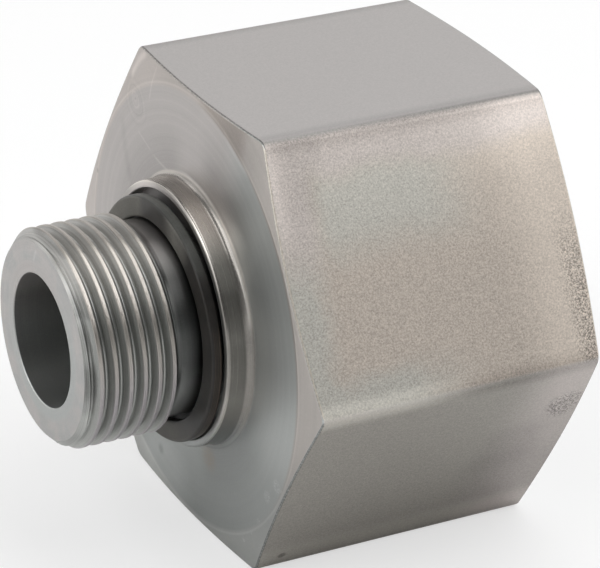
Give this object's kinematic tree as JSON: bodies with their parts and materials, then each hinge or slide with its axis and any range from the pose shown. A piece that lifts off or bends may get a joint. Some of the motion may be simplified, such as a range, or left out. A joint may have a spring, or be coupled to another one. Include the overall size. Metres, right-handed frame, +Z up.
{
  "type": "hydraulic reducing fitting",
  "caption": "Steel reducing adapter: a parallel pipe-thread stud with a captive seal ring on a hexagon, and a larger threaded port in its other end.",
  "frame": {"origin": "on the fitting's axis, in the hexagon's end face that the collar stands on", "axes": "+X along the fitting's axis towards the large port, so the stud points to -X; +Z up, square to the hexagon flat that the fitting rests on; +Y completes the right-handed frame"},
  "size_m": [0.0568, 0.063, 0.055],
  "materials": {
    "steel": "machined steel, turned on the faces and stud, satin on the hexagon's flats",
    "elastomer": "moulded, low sheen"
  },
  "bodies": {
    "root": {"body": "steel", "seal_ring": "elastomer"}
  },
  "joints": []
}
